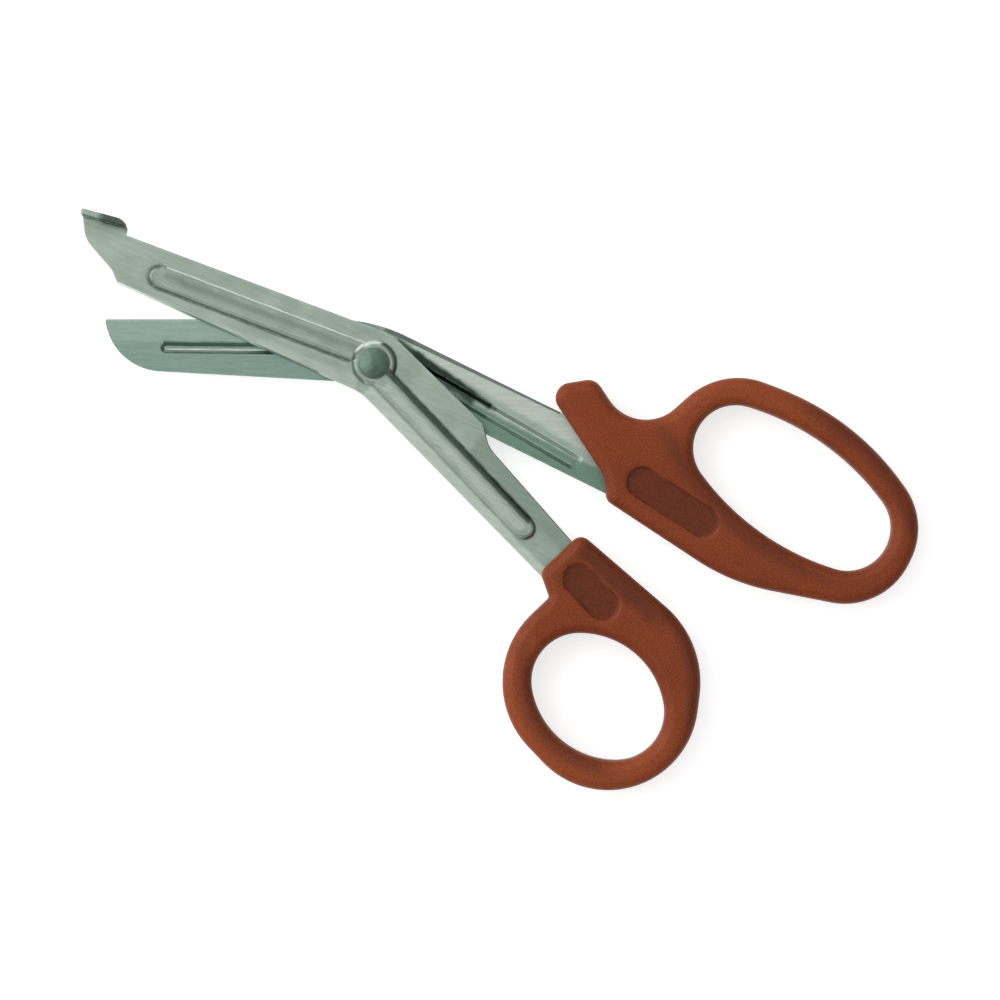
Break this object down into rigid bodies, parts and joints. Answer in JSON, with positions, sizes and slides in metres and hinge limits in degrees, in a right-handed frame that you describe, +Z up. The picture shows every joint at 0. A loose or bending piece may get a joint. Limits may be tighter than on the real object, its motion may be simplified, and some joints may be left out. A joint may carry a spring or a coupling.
{
  "type": "bandage scissors",
  "caption": "Bandage scissors with pressed steel blades, a blunt safety foot and brown moulded ring handles, lying flat and opened a little.",
  "frame": {"origin": "middle of the plan of the whole pair as it lies opened, on the ground plane under the handles", "axes": "+X from the blade tips towards the rings, along the lower cutting edge; +Z up, square to the blades and along the pivot"},
  "size_m": [0.1762, 0.1226, 0.0096],
  "materials": {
    "blade_steel": "satin",
    "rivet_steel": "bright",
    "handle_plastic": "matte"
  },
  "bodies": {
    "finger_side": {"rear_blade": "blade_steel", "finger_handle": "handle_plastic", "pivot_rivet": "rivet_steel", "pivot_washer": "rivet_steel"},
    "thumb_side": {"front_blade": "blade_steel", "thumb_handle": "handle_plastic"}
  },
  "joints": [
    {"name": "pivot", "type": "hinge", "parent": "finger_side", "child": "thumb_side", "pos_m": [-0.0265, 0.02869, 0.0046], "axis": [0, 0, -1], "range_deg": [-8.2, 45]}
  ]
}
